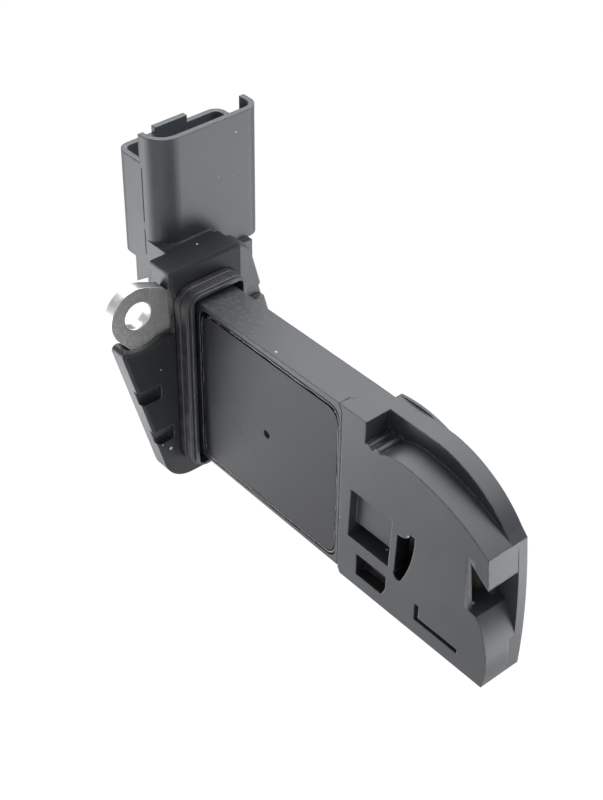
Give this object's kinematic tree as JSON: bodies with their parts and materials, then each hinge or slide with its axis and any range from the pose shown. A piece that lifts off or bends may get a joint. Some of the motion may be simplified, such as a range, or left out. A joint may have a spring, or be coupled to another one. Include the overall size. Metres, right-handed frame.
{
  "type": "mass airflow sensor",
  "caption": "Plug-in mass airflow sensor: flat measuring blade with air inlet and windows, sealed flange with two screw lugs, and a plug socket at right angles.",
  "frame": {"origin": "centre of the seating face of the flange, midway between the two screw holes", "axes": "+X out of the seating face along the blade into the duct, +Z the way out of the plug socket, -Y the side with the circuit cover"},
  "size_m": [0.0894, 0.0366, 0.0634],
  "materials": {
    "housing_plastic": "fine-grained satin moulding",
    "seal_rubber": "smooth dull rubber",
    "lug_metal": "zinc plated, slightly grainy",
    "cover_plastic": "smooth satin moulding",
    "sealant": "glossy black adhesive",
    "bypass_plastic": "fine-grained satin moulding",
    "rear_plastic": "fine-grained satin moulding",
    "board_laminate": "green solder mask",
    "chip_resin": "moulded resin",
    "carrier_resin": "moulded resin",
    "sensor_ceramic": "polished chip",
    "capacitor_ceramic": "fired ceramic",
    "gel": "clear soft silicone",
    "lead_metal": "tin plated",
    "link_metal": "tin plated"
  },
  "bodies": {
    "root": {"housing": "housing_plastic", "flange_seal": "seal_rubber", "upper_lug": "lug_metal", "lower_lug": "lug_metal", "circuit_cover": "cover_plastic", "cover_sealant": "sealant", "bypass_cover": "bypass_plastic", "rear_bypass_cover": "rear_plastic", "circuit_board": "board_laminate", "control_chip": "chip_resin", "element_carrier": "carrier_resin", "sensing_element": "sensor_ceramic", "temperature_sensor": "sensor_ceramic", "potting_gel": "gel", "lead_1": "lead_metal", "capacitor_1": "capacitor_ceramic", "lead_2": "lead_metal", "capacitor_2": "capacitor_ceramic", "lead_3": "lead_metal", "capacitor_3": "capacitor_ceramic", "lead_4": "lead_metal", "capacitor_4": "capacitor_ceramic", "carrier_link_1": "link_metal", "carrier_link_2": "link_metal", "carrier_link_3": "link_metal"}
  },
  "joints": []
}
